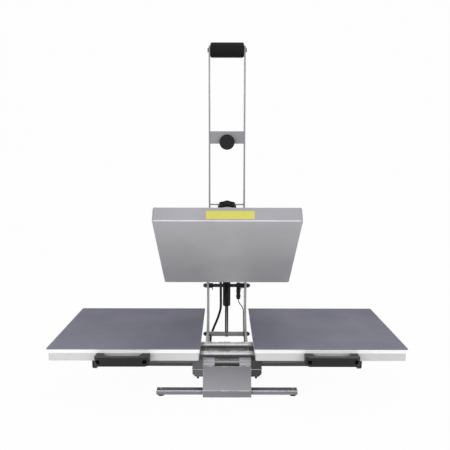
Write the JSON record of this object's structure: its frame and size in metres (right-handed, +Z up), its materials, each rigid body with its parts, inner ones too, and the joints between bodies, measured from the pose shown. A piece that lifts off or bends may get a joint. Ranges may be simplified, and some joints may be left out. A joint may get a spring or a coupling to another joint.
{
  "type": "dual station heat press",
  "caption": "Dual station heat press with two padded platens on a shuttle carriage, a tilting heated head and a long hand lever.",
  "frame": {"origin": "on the table, under the middle of the outline", "axes": "+Z up, front of the press towards -Y, +X to its right as seen from the front"},
  "size_m": [0.941, 0.5764, 1.0128],
  "materials": {
    "light_paint": "satin",
    "mid_paint": "satin",
    "dark_paint": "satin",
    "chrome": "polished",
    "bright_screw": "satin",
    "dark_screw": "satin",
    "aluminium": "satin",
    "hot_plate": "satin",
    "pad_rubber": "matt",
    "black_rubber": "matt",
    "black_plastic": "satin",
    "grey_plastic": "satin",
    "lead_cover": "satin",
    "bronze": "satin",
    "board": "matt",
    "display_glass": "gloss"
  },
  "bodies": {
    "base": {"left_side_plate": "light_paint", "right_side_plate": "light_paint", "front_panel": "mid_paint", "foot_bars": "dark_paint", "rubber_feet": "black_rubber", "base_screws": "bright_screw", "left_bearing_block": "mid_paint", "right_bearing_block": "dark_paint", "linear_bushes": "bronze", "rail_brackets": "light_paint", "tie_shafts": "dark_screw", "shaft_nuts": "dark_screw", "spacer_sleeves": "mid_paint", "main_hinge_pin": "bright_screw", "lever_pivot_bolts": "dark_screw", "power_box": "mid_paint", "power_inlet": "black_plastic", "micro_switch": "black_plastic", "switch_lead": "lead_cover", "base_gland": "black_plastic", "head_lead": "lead_cover"},
    "power_switch": {"power_rocker": "black_plastic"},
    "carriage": {"slide_rails": "chrome", "end_brackets": "dark_paint", "support_beams": "mid_paint", "left_tray": "light_paint", "right_tray": "light_paint", "left_platen": "aluminium", "right_platen": "aluminium", "left_pad": "pad_rubber", "right_pad": "pad_rubber", "left_handle": "black_plastic", "right_handle": "black_plastic", "carriage_screws": "bright_screw"},
    "head": {"head_cover": "light_paint", "heating_platen": "hot_plate", "heater_element": "dark_paint", "insulation_board": "board", "head_yoke": "dark_paint", "pressure_plate": "mid_paint", "electromagnet": "dark_paint", "control_box": "dark_paint", "control_display": "display_glass", "head_gland": "black_plastic", "cover_screws": "bright_screw"},
    "set_key": {"set_button": "grey_plastic"},
    "up_key": {"up_button": "grey_plastic"},
    "down_key": {"down_button": "grey_plastic"},
    "pressure_adjuster": {"pressure_screw": "bright_screw", "pressure_knob": "black_plastic"},
    "lever": {"lever_bars": "light_paint", "lever_crossbar": "mid_paint", "armature_disc": "dark_paint", "lever_tie_rod": "bright_screw", "pressure_shaft": "bright_screw", "hand_grip": "black_rubber", "grip_bolts": "dark_screw"},
    "gas_spring_rod": {"gas_rod": "dark_paint"},
    "gas_spring_body": {"gas_cylinder": "dark_paint"}
  },
  "joints": [
    {"name": "carriage_slide", "type": "slide", "parent": "base", "child": "carriage", "axis": [1, 0, 0], "range_m": [-0.2605, 0.2605]},
    {"name": "head_tilt", "type": "hinge", "parent": "base", "child": "head", "pos_m": [0, 0.26425, 0.296], "axis": [1, 0, 0], "range_deg": [0, 36.3], "stiffness_Nm_per_rad": 30, "springref_deg": -126.05, "deforming": ["head_lead"]},
    {"name": "lever_swing", "type": "hinge", "parent": "base", "child": "lever", "pos_m": [0, 0.21025, 0.304], "axis": [1, 0, 0], "range_deg": [0, 96]},
    {"name": "gas_rod_swing", "type": "hinge", "parent": "base", "child": "gas_spring_rod", "pos_m": [0, 0.23825, 0.041], "axis": [1, 0, 0], "range_deg": [0, 0.935]},
    {"name": "gas_body_slide", "type": "slide", "parent": "gas_spring_rod", "child": "gas_spring_body", "axis": [0, -0.2196, 0.9756], "range_m": [-0.054, 0]},
    {"name": "pressure_turn", "type": "hinge", "parent": "head", "child": "pressure_adjuster", "pos_m": [0, -0.04739, 0.40891], "axis": [0, 0.592, 0.8059], "range_deg": [-360, 360]},
    {"name": "power_rock", "type": "hinge", "parent": "base", "child": "power_switch", "pos_m": [0.002, 0.08425, 0.0405], "axis": [1, 0, 0], "range_deg": [-20, 0]},
    {"name": "set_press", "type": "slide", "parent": "head", "child": "set_key", "axis": [0, 0.592, 0.8059], "range_m": [-0.0012, 0], "stiffness_N_per_m": 400},
    {"name": "up_press", "type": "slide", "parent": "head", "child": "up_key", "axis": [0, 0.592, 0.8059], "range_m": [-0.0012, 0], "stiffness_N_per_m": 400},
    {"name": "down_press", "type": "slide", "parent": "head", "child": "down_key", "axis": [0, 0.592, 0.8059], "range_m": [-0.0012, 0], "stiffness_N_per_m": 400}
  ],
  "couplings": [
    {"joint": "lever_swing", "follows": "head_tilt", "ratio": 2.6446},
    {"joint": "gas_rod_swing", "follows": "head_tilt", "ratio": 0.02575},
    {"joint": "gas_body_slide", "follows": "head_tilt", "m_per_rad": -0.08523}
  ]
}
